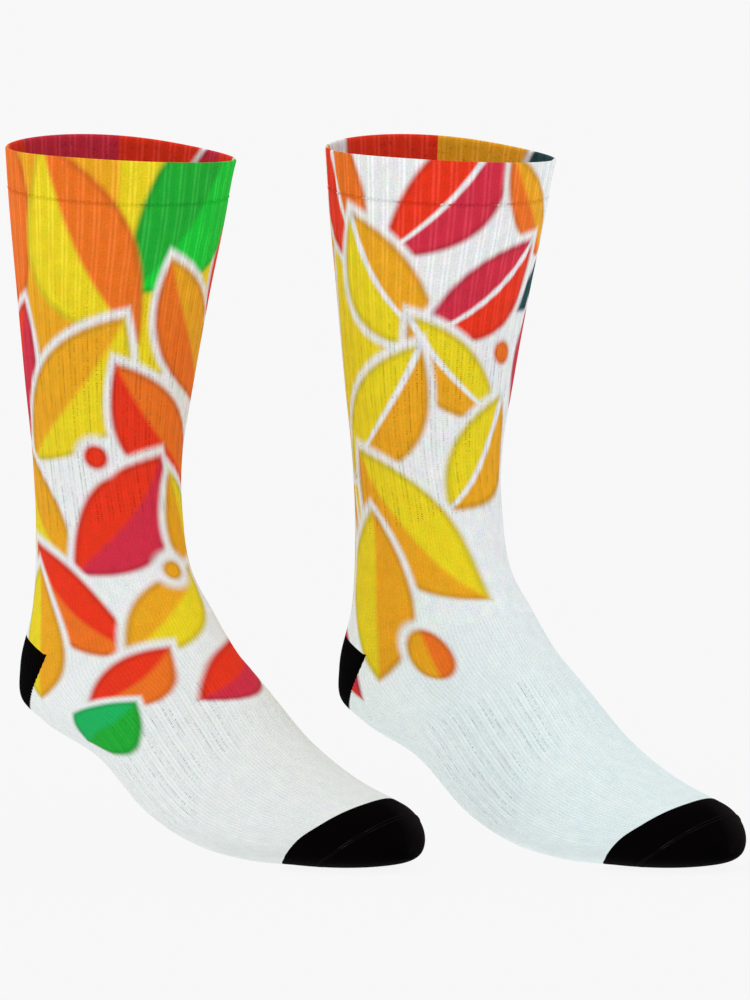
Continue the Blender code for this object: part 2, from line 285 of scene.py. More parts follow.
def cloth_piece(name, outer, inner, placed_at):
    """One closed piece of cloth from its outer and inner skins."""
    shape, inner_shape = outer["wale"].shape, inner["wale"].shape
    outer_size = outer["wale"].size
    outer["OFBake"] = unrolled(shape, EDGE_SHARE, 1 - INSIDE_SHARE - EDGE_SHARE)
    inner["OFBake"] = unrolled(inner_shape, 1 - EDGE_SHARE, 1 - INSIDE_SHARE)
    outer_numbers = np.arange(outer_size).reshape(shape)
    inner_numbers = outer_size + np.arange(inner["wale"].size).reshape(inner_shape)
    first_strip = edge_strip(outer_numbers[0], inner_numbers[0], True)
    faces = quads(outer_numbers, True) + quads(inner_numbers, False)
    strip_start = len(faces)
    faces += first_strip + edge_strip(outer_numbers[-1], inner_numbers[-1], False)

    fact = {}
    for key in outer:
        width = outer[key].shape[2:]
        fact[key] = np.concatenate([side[key].reshape(-1, *width) for side in (outer, inner)])

    rounded = np.round(fact["points"] / METRES, SAME_POINT)
    _, kept, welded = np.unique(rounded, axis=0, return_index=True, return_inverse=True)
    welded = welded.ravel()
    corners, joined, on_first_strip = [], [], []
    for i, face in enumerate(faces):
        points = welded[face]
        fresh = [j for j in range(len(face)) if points[j] != points[j - 1]]
        if len(fresh) > 2:
            joined.append([int(points[j]) for j in fresh])
            corners += [face[j] for j in fresh]
            on_first_strip += [strip_start <= i < strip_start + len(first_strip)] * len(fresh)
    corners = np.array(corners)

    mesh = bpy.data.meshes.new(name)
    mesh.from_pydata(fact["points"][kept].tolist(), [], joined)
    mesh.shade_smooth()
    mesh.set_sharp_from_angle(angle=math.radians(SHARP_ANGLE))
    store(mesh, {key: fact[key][kept] for key in POINT_FACTS})
    for key in ("Knit", "Print", "OFBake"):
        places = fact[key][corners].astype(np.float32)
        if key == "OFBake":
            places[np.array(on_first_strip) & (corners < outer_size), 1] = 1.0
        mesh.uv_layers.new(name=key).uv.foreach_set("vector", places.ravel())
    mesh.transform(placed_at)
    return put_in_scene(name, mesh)


class Value:
    """An output of a node.  A sum with it adds a maths node to its tree."""

    def __init__(self, socket):
        self.socket = socket
        self.tree = socket.id_data

    def beside(self, name):
        """Another output of the same node."""
        return Value(self.socket.node.outputs[name])

    def maths(self, operation, *others, clamp=False):
        terms = enumerate((self, *others))
        return add_node(self.tree, "ShaderNodeMath", terms, operation=operation, use_clamp=clamp)

    def scaled(self, gain, offset, clamp=False):
        return self.maths("MULTIPLY_ADD", gain, offset, clamp=clamp)

    def __add__(self, other):
        return self.maths("ADD", other)

    def __sub__(self, other):
        return self.maths("SUBTRACT", other)

    def __rsub__(self, other):
        return self.scaled(-1.0, other)

    def __mul__(self, other):
        return self.maths("MULTIPLY", other)

    def __truediv__(self, other):
        return self.maths("DIVIDE", other)

    def __pow__(self, exponent):
        return self.maths("POWER", exponent)

    def __abs__(self):
        return self.maths("ABSOLUTE")


def feed(node, inputs):
    """Join a node's inputs to values, or set them to plain numbers and colours."""
    for key, value in dict(inputs).items():
        if isinstance(value, Value):
            node.id_data.links.new(value.socket, node.inputs[key])
        else:
            node.inputs[key].default_value = value


def add_node(tree, kind, inputs=(), output=0, **settings):
    """A new node with these settings and inputs; gives one of its outputs."""
    node = tree.nodes.new(kind)
    for setting, value in settings.items():
        setattr(node, setting, value)
    feed(node, inputs)
    return Value(node.outputs[output])


def graded(value, start, end, low=0.0, high=1.0):
    """A soft step: low at start, high at end."""
    inputs = {"Value": value, "From Min": start, "From Max": end, "To Min": low, "To Max": high}
    return add_node(value.tree, "ShaderNodeMapRange", inputs, interpolation_type="SMOOTHSTEP")


def new_tree(name, kind, inputs, outputs):
    """A node group; a plain number stands for a float socket that starts at it."""
    tree = bpy.data.node_groups.new(name, kind)
    for direction, sockets in (("INPUT", inputs), ("OUTPUT", outputs)):
        for label, given in sockets.items():
            socket_type = "NodeSocket" + (given if isinstance(given, str) else "Float")
            socket = tree.interface.new_socket(label, in_out=direction, socket_type=socket_type)
            if not isinstance(given, str):
                socket.default_value = given
    starts = tree.nodes.new("NodeGroupInput").outputs
    given = {label: Value(starts[label]) for label in inputs}
    return tree, given, tree.nodes.new("NodeGroupOutput")


def read_fact(tree, name, kind="FLOAT"):
    node = tree.nodes.new("GeometryNodeInputNamedAttribute")
    node.data_type = kind
    node.inputs["Name"].default_value = name
    return Value(next(socket for socket in node.outputs if socket.enabled))


def from_furrow_of(wale):
    """How many wales it is to the middle of the nearest furrow; 2 is mid rib."""
    return abs(wale.maths("WRAP", 2.0, -2.0))


def painted(geometry, yarn):
    """The end of each tree: a plain mesh with its material."""
    plain = add_node(geometry.tree, "GeometryNodeRealizeInstances", {"Geometry": geometry})
    return add_node(
        geometry.tree, "GeometryNodeSetMaterial", {"Geometry": plain, "Material": yarn})


FURROW_EDGE, FURROW_FLOOR = 1.35, 0.3  # wales from the middle of the furrow


def build_relief_tree():
    """Sinks the furrows between the ribs and rounds each wale of stitches."""
    tree, given, wanted = new_tree(
        "Raised knitting", "GeometryNodeTree",
        {"Cloth": "Geometry", "Yarn": "Material", "Rib Rise": 0.0005, "Wale Rise": 0.0002},
        {"Cloth": "Geometry"})
    wale = read_fact(tree, "wale")
    furrow = graded(from_furrow_of(wale), FURROW_EDGE, FURROW_FLOOR)
    sunk = furrow * read_fact(tree, "ribbed") * given["Rib Rise"]
    across = wale.maths("FRACT").scaled(2.0, -1.0)
    depth = (sunk + across**2.0 * given["Wale Rise"]) * read_fact(tree, "raised")
    outward = read_fact(tree, "outward", "FLOAT_VECTOR")
    move = add_node(
        tree, "ShaderNodeVectorMath", {0: outward, "Scale": depth * -1.0}, operation="SCALE")
    placed = add_node(
        tree, "GeometryNodeSetPosition", {"Geometry": given["Cloth"], "Offset": move})
    feed(wanted, {"Cloth": painted(placed, given["Yarn"])})
    return tree


RELIEF_TREE = build_relief_tree()


def work(piece, tree, **sizes):
    """Run a tree on a piece with these inputs, and keep the plain mesh it makes."""
    modifier = piece.modifiers.new(tree.name, "NODES")
    modifier.node_group = tree
    for item in tree.interface.items_tree:
        label = item.name.replace(" ", "_").lower()
        if item.in_out == "INPUT" and label in sizes:
            modifier[item.identifier] = sizes[label]
    bpy.context.view_layer.update()
    depsgraph = bpy.context.evaluated_depsgraph_get()
    made = bpy.data.meshes.new_from_object(
        piece.evaluated_get(depsgraph), preserve_all_data_layers=True, depsgraph=depsgraph)
    piece.modifiers.clear()
    piece.data = made
    return piece


def raise_knitting(piece, yarn, rib_rise, wale_rise):
    """Give a piece its relief, in mm, and its yarn."""
    work(piece, RELIEF_TREE, yarn=yarn, rib_rise=rib_rise * METRES, wale_rise=wale_rise * METRES)


def dye(red, green, blue):
    """A colour from its 0 to 255 shades on a screen."""
    shares = [value / 255 for value in (red, green, blue)]
    linear = [v / 12.92 if v <= 0.04045 else ((v + 0.055) / 1.055) ** 2.4 for v in shares]
    return (*linear, 1.0)


WHITE, MID_GREY, NO_LIGHT = (1.0, 1.0, 1.0, 1.0), (0.5, 0.5, 0.5, 1.0), (0.0, 0.0, 0.0, 1.0)


def mixed(tree, share, first, second, blend="MIX"):
    """Two colours mixed by a share; each is a value or a plain colour."""
    inputs = {0: share, 6: first, 7: second}
    return add_node(tree, "ShaderNodeMix", inputs, 2, data_type="RGBA", blend_type=blend)


def split(place):
    """The first two parts of a place."""
    first = add_node(place.tree, "ShaderNodeSeparateXYZ", {0: place})
    return first, first.beside("Y")


PRINT_SOFTNESS = 0.0021  # metres over which an edge of the print blurs
RIM_DARKNESS = 0.22  # the dye gathers just inside the edge of a leaf,
RIM_INNER, RIM_OUTER = -0.0045, -0.001  # between these distances from it
MIDRIB_TAPER = 0.25  # the bare midrib is thinner to one end
LEAST_ACROSS = 0.001  # keeps the middle line of a leaf out of the sums


def build_leaf_group():
    """Prints one leaf or pebble, with a bare margin, over what lies under it.

    Its edge is where (side / half width) ^ Point + (end / half length) ^ 2 is 1:
    a Point of 1 gives a leaf with two sharp ends, and 2 gives an oval.
    """
    tree, given, wanted = new_tree(
        "Printed leaf", "ShaderNodeTree",
        {"Under": "Color", "Place": "Vector", "Centre": "Vector", "Turn": 0.0,
         "Half Length": 0.04, "Half Width": 0.016, "Bend": 0.0, "Point": 1.0,
         "Margin": 0.003, "Midrib": 0.0, "Ground": "Color", "First Shade": "Color",
         "Second Shade": "Color"},
        {"Colour": "Color"})
    from_centre = add_node(
        tree, "ShaderNodeVectorMath", {0: given["Place"], 1: given["Centre"]},
        operation="SUBTRACT")
    turned = add_node(
        tree, "ShaderNodeVectorRotate", {"Vector": from_centre, "Angle": given["Turn"]},
        rotation_type="Z_AXIS")
    x, y = split(turned)
    along = y / given["Half Length"]
    along_square = along * along
    side = x - (1.0 - along_square) * given["Bend"]
    across = (abs(side) / given["Half Width"]).maths("MAXIMUM", LEAST_ACROSS)
    across_power = across ** given["Point"]
    across_slope = across_power / across * given["Point"] / given["Half Width"]
    along_slope = along * 2.0 / given["Half Length"]
    steepness = (across_slope * across_slope + along_slope * along_slope).maths("SQRT")
    distance = (across_power + along_square - 1.0) / steepness
    inside = graded(distance, PRINT_SOFTNESS, -PRINT_SOFTNESS)
    margin, midrib = given["Margin"], given["Midrib"]
    on_margin = graded(distance - margin, PRINT_SOFTNESS, -PRINT_SOFTNESS)
    on_margin = on_margin * margin.maths("GREATER_THAN", 0.0)
    half = graded(side, -PRINT_SOFTNESS, PRINT_SOFTNESS)
    shade = mixed(tree, half, given["First Shade"], given["Second Shade"])
    beside_rib = abs(side) - along.scaled(-MIDRIB_TAPER, 1 - MIDRIB_TAPER) * midrib
    on_rib = graded(beside_rib, PRINT_SOFTNESS / 2, -PRINT_SOFTNESS / 2)
    shade = mixed(tree, on_rib * midrib.maths("GREATER_THAN", 0.0), shade, given["Ground"])
    gathered = graded(distance, RIM_INNER, RIM_OUTER, 0.0, RIM_DARKNESS)
    shade = mixed(tree, gathered, shade, NO_LIGHT)
    bared = mixed(tree, on_margin, given["Under"], given["Ground"])
    feed(wanted, {"Colour": mixed(tree, inside, bared, shade)})
    return tree


def soft_noise(place, scales, detail=1.0):
    """Noise on a stretched copy of a place."""
    stretched = add_node(place.tree, "ShaderNodeVectorMath", {0: place, 1: scales}, operation="MULTIPLY")
    inputs = {"Vector": stretched, "Scale": 1.0, "Detail": detail}
    return add_node(place.tree, "ShaderNodeTexNoise", inputs)


# Noises in the yarn: how fast each changes a wale and a course, and its detail.
SWAY_NOISE = (0.05, 0.04, 1.0), 2.0
WALE_NOISE = (1.7, 0.06, 1.0), 2.0
LEG_NOISE = (1.3, 0.09, 1.0), 2.0
FLECK_NOISE = (1.9, 1.3, 1.0), 1.0
MOTTLE_NOISE = (0.3, 0.16, 1.0), 2.0
PATCH_NOISE = (0.61, 0.045, 1.0), 3.0
NOISE_SHADES = (0.05, 0.12, 0.3, 0.12)  # how much the wale, leg, fleck and mottle shade
SWAY = 0.5  # wales that a file of stitches wanders
CORD_ROUNDNESS = 2.5
LEG_SLANT = 0.55  # courses that the legs of a stitch fall towards its sides
LOOP_DEPTH = 0.4  # how deep the dip is from one stitch to the next
STITCH_SHADE = 0.06  # painted light: how much paler the top of a stitch is drawn
CREST, CREST_EDGE, CREST_FLAT = 1.4, 0.55, 0.1  # wales, from the furrow and the crest
CREST_FADE = 0.8  # how much of the crests is gone where the rib is open
CREST_BY_STREAK = (2.4, -0.4)  # gain and offset: crests come and go in streaks
CREST_BY_LOOP = (0.8, 0.6)
# painted highlight on the crests of the ribs
CREST_HIGHLIGHT = 0.18
CREST_BARE, LEAST_BARE = 0.02, 0.004  # share of yarn that has not taken the dye
HOLE, HOLE_HALF_WIDTH = 0.68, 0.31  # wales from the furrow, and wales
HOLE_HALF_HEIGHT, HOLE_CORE = 0.23, 0.3  # courses, and share that is fully dark
PATCH_START, PATCH_END, PATCH_LEAST = 0.40, 0.62, 0.3  # holes are fainter in patches
HOLE_CHANCE = (1.9, -0.1)  # gain and offset: some stitches have no hole


def build_knit_group():
    """Stitches of plain or ribbed knitting, from a count of wales and courses."""
    tree, given, wanted = new_tree(
        "Knitted stitches", "ShaderNodeTree",
        {"Stitches": "Vector", "Ribbed": 0.0, "Opened": 0.0, "Uneven Tint": 0.3},
        {"Height": "Float", "Shade": "Float", "Tint": "Color", "Bare Yarn": "Float",
         "Gap": "Float"})
    stitches = given["Stitches"]
    straight_wale, course = split(stitches)
    sway = soft_noise(stitches, *SWAY_NOISE) - 0.5
    wale = sway.scaled(SWAY, straight_wale)
    wale_number, leg_number = wale.maths("FLOOR"), (wale * 2.0).maths("FLOOR")

    def paired(x, y):
        return add_node(tree, "ShaderNodeCombineXYZ", {"X": x, "Y": y})

    # Each stitch is a rounded V: its two legs lean outwards up the wale.
    aside = abs(wale.maths("FRACT").scaled(2.0, -1.0))
    wave = (aside.scaled(-LEG_SLANT, course) * math.tau).maths("COSINE")
    loop = wave.scaled(0.5, 0.5)
    stitch = (1.0 - aside**CORD_ROUNDNESS) * loop.scaled(LOOP_DEPTH, 1 - LOOP_DEPTH)

    # Yarn is never even: every stitch takes the dye a little differently, and
    # whole wales and patches of cloth do so too.
    streak = soft_noise(paired(wale_number, course), *WALE_NOISE)
    leg_streak = soft_noise(paired(leg_number, course), *LEG_NOISE)
    fleck = soft_noise(stitches, *FLECK_NOISE)
    mottle = soft_noise(stitches, *MOTTLE_NOISE)
    # Painted light: the top of each stitch is drawn paler than its sides.
    shade = stitch.scaled(STITCH_SHADE, 1 - STITCH_SHADE / 2)
    for noise, strength in zip((streak, leg_streak, fleck, mottle), NOISE_SHADES):
        shade = (noise - 0.5).scaled(strength, shade)
    tints = mixed(tree, 0.5, mottle.beside("Color"), fleck.beside("Color"))
    tints = mixed(tree, 1.0, tints, MID_GREY, "SUBTRACT")
    tint = add_node(
        tree, "ShaderNodeVectorMath", {0: tints, "Scale": given["Uneven Tint"]},
        operation="SCALE")

    # The two raised wales of a rib that is not yet stretched are drawn a little lighter,
    # a painted highlight on the crests, and a breath of white yarn shows there.
    from_furrow = from_furrow_of(wale)
    crest = graded(abs(from_furrow - CREST), CREST_EDGE, CREST_FLAT) * given["Ribbed"]
    crest = crest * given["Opened"].scaled(-CREST_FADE, 1.0)
    crest = crest * streak.scaled(*CREST_BY_STREAK, clamp=True) * loop.scaled(*CREST_BY_LOOP)

    # Where the rib opens, its furrow has two files of tiny holes, a hole a course;
    # the holes are real, and the dark drawn in them is painted shade.
    across_hole = (from_furrow - HOLE) / HOLE_HALF_WIDTH
    along_hole = (course.maths("FRACT") - 0.5) / HOLE_HALF_HEIGHT
    hole = graded(across_hole * across_hole + along_hole * along_hole, 1.0, HOLE_CORE)
    patch = soft_noise(paired(wale_number, course), *PATCH_NOISE)
    hole = hole * graded(patch, PATCH_START, PATCH_END, PATCH_LEAST, 1.0)
    each = paired(leg_number, course.maths("FLOOR"))
    chance = add_node(
        tree, "ShaderNodeTexWhiteNoise", {"Vector": each}, "Value", noise_dimensions="2D")
    hole = hole * chance.scaled(*HOLE_CHANCE, clamp=True) * given["Ribbed"]
    feed(wanted, {
        "Height": stitch,
        "Shade": crest.scaled(CREST_HIGHLIGHT, shade),
        "Tint": mixed(tree, 1.0, WHITE, tint, "ADD"),
        "Bare Yarn": crest.scaled(CREST_BARE, LEAST_BARE),
        "Gap": hole * given["Opened"],
    })
    return tree


LEAF_GROUP = build_leaf_group()
KNIT_GROUP = build_knit_group()
KNIT_ROUGHNESS = 0.85
FUZZ_ROUGHNESS = 0.5
SEAM_PAINTED_SHADE = 0.88  # painted shade: the yarn is drawn darker down in a seam
SEAM_START = 0.2
OPENED_START, OPENED_END = 0.03, 0.11  # metres down, where the ribs open


def read_map(tree, name, output="Vector"):
    return add_node(tree, "ShaderNodeAttribute", output=output, attribute_name=name)


def knitted_yarn(name, paint, stitch_depth, hole_painted_shade, gloss, fuzz, tint, furrow_shade=0.0):
    """A knitted material; paint gives the dyed colour before the stitches."""
    material = bpy.data.materials.new(name)
    material.use_nodes = True
    tree = material.node_tree
    _, down = split(read_map(tree, "Print"))
    stitching = {
        "Stitches": read_map(tree, "Knit"),
        "Ribbed": read_map(tree, "ribbed", "Fac"),
        "Opened": graded(down, OPENED_START, OPENED_END),
        "Uneven Tint": tint,
    }
    height = add_node(tree, "ShaderNodeGroup", stitching, "Height", node_tree=KNIT_GROUP)
    dyed, bare = paint(tree)
    colour = mixed(tree, height.beside("Bare Yarn"), dyed, bare)
    colour = mixed(tree, 1.0, colour, height.beside("Tint"), "MULTIPLY")
    seam_painted_shade = graded(read_map(tree, "seam", "Fac"), SEAM_START, 1.0, 1.0, SEAM_PAINTED_SHADE)
    # Painted shade: darker in the holes, down in a seam and between the cords.
    dimming = height.beside("Gap").scaled(-hole_painted_shade, 1.0)
    dimming = dimming * height.beside("Shade") * seam_painted_shade * height.scaled(furrow_shade, 1.0 - furrow_shade)
    grey = add_node(tree, "ShaderNodeCombineXYZ", {"X": dimming, "Y": dimming, "Z": dimming})
    bump = {"Distance": stitch_depth, "Strength": 1.0, "Height": height}
    feed(tree.nodes["Principled BSDF"], {
        "Base Color": mixed(tree, 1.0, colour, grey, "MULTIPLY"),
        "Normal": add_node(tree, "ShaderNodeBump", bump),
        "Roughness": KNIT_ROUGHNESS,
        "Specular IOR Level": gloss,
        "Sheen Weight": fuzz,
        "Sheen Roughness": FUZZ_ROUGHNESS,
    })
    return material


# Colours of the print.
RED = dye(229, 50, 20)
ORANGE = dye(232, 112, 28)
AMBER = dye(230, 163, 26)
YELLOW = dye(230, 208, 28)
GREEN = dye(24, 170, 48)
BRIGHT_GREEN = dye(12, 203, 54)
SEA_GREEN = dye(22, 178, 92)
CRIMSON = dye(205, 42, 66)
TEAL = dye(10, 64, 68)
WHITE_YARN = dye(240, 240, 242)

# Leaves and pebbles of each print, the lowest first: the place of the middle in mm
# round the leg from its near side and down from the opening, the turn in degrees,
# the half length and half width, how far the spine is bowed, the shade of each
# half, the bare midrib and margin, and how sharp the ends are.
LEAF, PEBBLE = 1.0, 2.0
MARGIN, MIDRIB = 3.6, 1.8
Leaf = namedtuple(
    "Leaf", "across down turn half_length half_width bow first second midrib margin point",
    defaults=(0, MARGIN, LEAF))
FIRST_PRINT = [Leaf(*row) for row in (
    (-170, 70, 0, 190, 56, 0, CRIMSON, CRIMSON, 0, 0, PEBBLE),
    (176, 70, 0, 190, 76, 0, RED, RED, 0, 0, PEBBLE),
    (0, -24, 0, 136, 100, 0, AMBER, YELLOW, 0, 0, PEBBLE),
    (-80, 26, 22, 66, 34, -6, RED, ORANGE, 0, 0),
    (96, 44, -20, 66, 32, 6, RED, CRIMSON),
    (-112, 108, -18, 46, 22, 5, AMBER, YELLOW),
    (116, 122, 24, 44, 21, -5, YELLOW, AMBER),
    (96, 176, -30, 38, 17, 5, RED, ORANGE),
    (90, 220, 32, 34, 15, -4, ORANGE, AMBER),
    (44, 14, -34, 64, 33, 7, GREEN, BRIGHT_GREEN, 0, 0),
    (-14, 42, 30, 58, 29, -7, YELLOW, ORANGE, 0, 0),
    (-74, 118, -26, 50, 26, 6, RED, CRIMSON),
    (52, 86, 30, 44, 22, -5, ORANGE, AMBER),
    (-22, 116, -38, 48, 25, 6, AMBER, YELLOW),
    (30, 134, 40, 42, 21, -6, RED, ORANGE),
    (70, 148, -24, 34, 16, 4, SEA_GREEN, GREEN),
    (-52, 176, 34, 42, 21, -5, YELLOW, AMBER),
    (-2, 178, -42, 42, 21, 6, RED, CRIMSON),
    (42, 186, 20, 34, 15, -4, AMBER, YELLOW),
    (-34, 222, 44, 38, 19, -6, ORANGE, RED),
    (10, 226, -46, 36, 16, 5, AMBER, YELLOW),
    (-70, 240, -20, 36, 18, 4, YELLOW, AMBER),
    (-22, 264, -60, 34, 15, 5, RED, ORANGE),
    (-98, 196, 10, 40, 20, 4, RED, ORANGE),
    (-56, 298, -62, 36, 19, 5, SEA_GREEN, GREEN),
    (30, 262, -52, 34, 14, 4, RED, CRIMSON),
    (-8, 150, 0, 6, 6, 0, RED, RED, 0, MARGIN, PEBBLE),
    (22, 204, 0, 5, 5, 0, AMBER, AMBER, 0, MARGIN, PEBBLE),
)]
SECOND_PRINT = [Leaf(*row) for row in (
    (-170, 70, 0, 145, 56, 0, RED, RED, 0, 0, PEBBLE),
    (176, 70, 0, 145, 60, 0, AMBER, AMBER, 0, 0, PEBBLE),
    (-66, 104, 6, 150, 44, 4, AMBER, YELLOW, MIDRIB, 0),
    (-110, 96, 14, 48, 21, -5, CRIMSON, RED, MIDRIB),
    (112, 92, -22, 44, 20, 5, RED, ORANGE, MIDRIB),
    (94, 146, 30, 38, 17, -4, YELLOW, AMBER, MIDRIB),
    (96, 196, -28, 34, 15, 4, AMBER, YELLOW),
    (-58, 16, 26, 46, 20, -5, RED, ORANGE, MIDRIB),
    (4, 12, -40, 50, 22, 6, RED, CRIMSON, MIDRIB),
    (58, 22, 36, 34, 14, -4, ORANGE, AMBER),
    (72, 60, -50, 24, 9, 3, TEAL, TEAL),
    (-22, 62, 40, 44, 20, -6, YELLOW, AMBER, MIDRIB),
    (28, 64, -52, 42, 18, 5, CRIMSON, RED, MIDRIB),
    (66, 98, -20, 28, 12, 3, CRIMSON, RED),
    (14, 104, 44, 36, 17, -5, AMBER, YELLOW, MIDRIB),
    (-30, 128, -36, 44, 22, 6, YELLOW, AMBER, MIDRIB),
    (24, 146, -34, 36, 17, 4, YELLOW, AMBER, MIDRIB),
    (-14, 184, 40, 48, 24, -6, AMBER, YELLOW),
    (-50, 220, -14, 44, 23, 5, YELLOW, AMBER),
    (-24, 250, 0, 14, 12, 0, AMBER, ORANGE, 0, MARGIN, PEBBLE),
    (42, 96, 0, 6, 6, 0, ORANGE, ORANGE, 0, MARGIN, PEBBLE),
    (-84, 190, 8, 38, 16, 4, AMBER, YELLOW),
    (-88, 256, 20, 20, 9, 3, RED, CRIMSON),
    (104, -4, 20, 30, 15, 0, TEAL, TEAL, 0, MARGIN, PEBBLE),
)]

LEG_TO_FOOT = (0.15, 0.30)  # metres down, where the tone of the ground shifts
TO_NEAR_SOLE = (-0.02, -0.065)  # metres round, where it shifts to the sole's, which is drawn lighter as painted light
TO_FAR_SOLE = (0.075, 0.1)
SPECK_NOISE = (0.9, 0.35, 1.0), 4.0
SPECK_EDGE, SPECK_CORE = 0.54, 0.80  # levels of the noise that specks the inside with painted shade
SPECK_LEAST, SPECK_MOST = 0.12, 0.65  # and how much painted shade lies outside a speck and in one


def printed(leaves, leg_ground, foot_ground, painted_light_sole_ground):
    """Paints the leaves over white yarn whose tone shifts from leg to foot, with the sole drawn lighter
    as painted light, and lays painted shade in specks on the inside.
    """

    def paint(tree):
        place = read_map(tree, "Print")
        across, down = split(place)
        sole_painted_light = graded(across, *TO_NEAR_SOLE).maths("MAXIMUM", graded(across, *TO_FAR_SOLE))
        foot_tone = mixed(tree, sole_painted_light, foot_ground, painted_light_sole_ground)
        ground = mixed(tree, graded(down, *LEG_TO_FOOT), leg_ground, foot_tone)
        colour = ground
        for leaf in leaves:
            design = {
                "Under": colour,
                "Place": place,
                "Ground": ground,
                "Centre": (leaf.across * METRES, leaf.down * METRES, 0.0),
                "Turn": math.radians(leaf.turn),
                "Half Length": leaf.half_length * METRES,
                "Half Width": leaf.half_width * METRES,
                "Bend": leaf.bow * METRES,
                "Point": leaf.point,
                "Margin": leaf.margin * METRES,
                "Midrib": leaf.midrib * METRES,
                "First Shade": leaf.first,
                "Second Shade": leaf.second,
            }
            colour = add_node(tree, "ShaderNodeGroup", design, node_tree=LEAF_GROUP)
        # Painted shade over the inside of the tube, laid in dark specks.
        specks = soft_noise(read_map(tree, "Knit"), *SPECK_NOISE)
        specks = graded(specks, SPECK_EDGE, SPECK_CORE, SPECK_LEAST, SPECK_MOST)
        inside_painted_shade = specks * read_map(tree, "worn", "Fac")
        return mixed(tree, inside_painted_shade, colour, NO_LIGHT), WHITE_YARN

    return paint


STITCH_DEPTH = 0.00012  # metres
# How dark the holes are drawn: painted shade seen through them.
HOLE_PAINTED_SHADE = 0.95
PRINTED_FINISH = (0.08, 0.02)  # gloss and fuzz
LEG_TINT, FOOT_TINT = 0.4, 0.16  # how far the dye drifts in patches
FOOT_FURROW_SHADE = 0.05  # painted shade: how much darker the foot is drawn between its wales
FOOT_START = 215  # mm down from the opening, where the foot can begin
LEG_GROUND = dye(231, 233, 234)
PAIR_DISTANCE = 156.0  # from one leg opening to the other
PAIR_DIRECTION = 42.0  # of the second sock, turned from the toe direction


def sock_yarns(name, leaves, foot_ground, painted_light_sole_ground):
    """The leg's printed knit and the foot's, which has only the lowest leaves."""
    lowest = [leaf for leaf in leaves if leaf.down + leaf.half_length > FOOT_START]
    grounds = (LEG_GROUND, foot_ground, painted_light_sole_ground)
    finish = (STITCH_DEPTH, HOLE_PAINTED_SHADE, *PRINTED_FINISH)
    on_leg, on_foot = printed(leaves, *grounds), printed(lowest, *grounds)
    return (
        knitted_yarn(name + " leg knit", on_leg, *finish, LEG_TINT),
        knitted_yarn(name + " foot knit", on_foot, *finish, FOOT_TINT, FOOT_FURROW_SHADE),
    )


Sock = namedtuple("Sock", "name number distance leg_yarn foot_yarn")
# Grounds of each foot, then of its sole. The sole is drawn lighter, as painted light against the shade
# under the foot. The second sock's foot is drawn a little lighter too, as painted light against the
# shade the first sock casts on it.
RED_YARNS = sock_yarns("Red and amber", FIRST_PRINT, dye(227, 232, 231), dye(234, 239, 238))
AMBER_YARNS = sock_yarns("Amber and crimson", SECOND_PRINT, dye(225, 238, 239), dye(241, 251, 251))
SOCKS = (
    Sock("sock_1", "1", 0.0, *RED_YARNS),
    Sock("sock_2", "2", PAIR_DISTANCE, *AMBER_YARNS),
)


def place_of(sock):
    turn = math.radians(PAIR_DIRECTION)
    reach = sock.distance * METRES
    return Matrix.Translation((reach * math.cos(turn), reach * math.sin(turn), 0.0))


def declare(piece, sock, part, slot, stitches=()):
    """Seat a finished piece and its stitches on the root, and hide the part it replaces."""
    for part_piece in (piece, *stitches):
        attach(part_piece, "root")
    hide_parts(sock.name + "_" + part)


def build_stitch_tree():
    """Lays one small stitch on each point of a path, turned to lie on the cloth."""
    tree, given, wanted = new_tree(
        "Row of stitches", "GeometryNodeTree",
        {"Path": "Geometry", "Yarn": "Material", "Stitch Length": 0.0015,
         "Stitch Width": 0.0005, "Slant": 0.0},
        {"Stitches": "Geometry"})
    line = add_node(tree, "GeometryNodeMeshToCurve", {"Mesh": given["Path"]})
    bead = add_node(
        tree, "GeometryNodeMeshUVSphere", {"Segments": 6, "Rings": 4, "Radius": 0.5})
    smooth = add_node(tree, "GeometryNodeSetShadeSmooth", {"Geometry": bead})
    axes = {
        "Primary Axis": read_fact(tree, "outward", "FLOAT_VECTOR"),
        "Secondary Axis": add_node(tree, "GeometryNodeInputTangent"),
    }
    lie = add_node(
        tree, "FunctionNodeAxesToRotation", axes, primary_axis="Z", secondary_axis="X")
    lean = {"Axis": (0.0, 0.0, 1.0), "Angle": given["Slant"]}
    slant = add_node(tree, "FunctionNodeAxisAngleToRotation", lean)
    turned = add_node(
        tree, "FunctionNodeRotateRotation", {"Rotation": lie, "Rotate By": slant},
        rotation_space="LOCAL")
    width = given["Stitch Width"]
    size = {"X": given["Stitch Length"], "Y": width, "Z": width}
    laid = add_node(tree, "GeometryNodeInstanceOnPoints", {
        "Points": line, "Instance": smooth, "Rotation": turned,
        "Scale": add_node(tree, "ShaderNodeCombineXYZ", size)})
    feed(wanted, {"Stitches": painted(laid, given["Yarn"])})
    return tree


STITCH_TREE = build_stitch_tree()
STITCH_SEAM = 0.5  # painted shade: a row of stitches is drawn half as dark as the seam beside it


def stitch_row(name, ring, angle, depth, placed_at, yarn, length, width, slant):
    """A row of stitches on the cloth, one at each ring and angle of its path, in mm."""
    facts = skin_of(ring[None], angle, depth, OPENING, seam=STITCH_SEAM)
    mesh = bpy.data.meshes.new(name)
    follows = [(i, i + 1) for i in range(len(angle) - 1)]
    mesh.from_pydata(facts["points"][0].tolist(), follows, [])
    store(mesh, {key: facts[key][0] for key in ("outward", "Knit", "Print", "seam")})
    mesh.transform(placed_at)
    return work(
        put_in_scene(name, mesh), STITCH_TREE, yarn=yarn, stitch_length=length * METRES,
        stitch_width=width * METRES, slant=math.radians(slant))


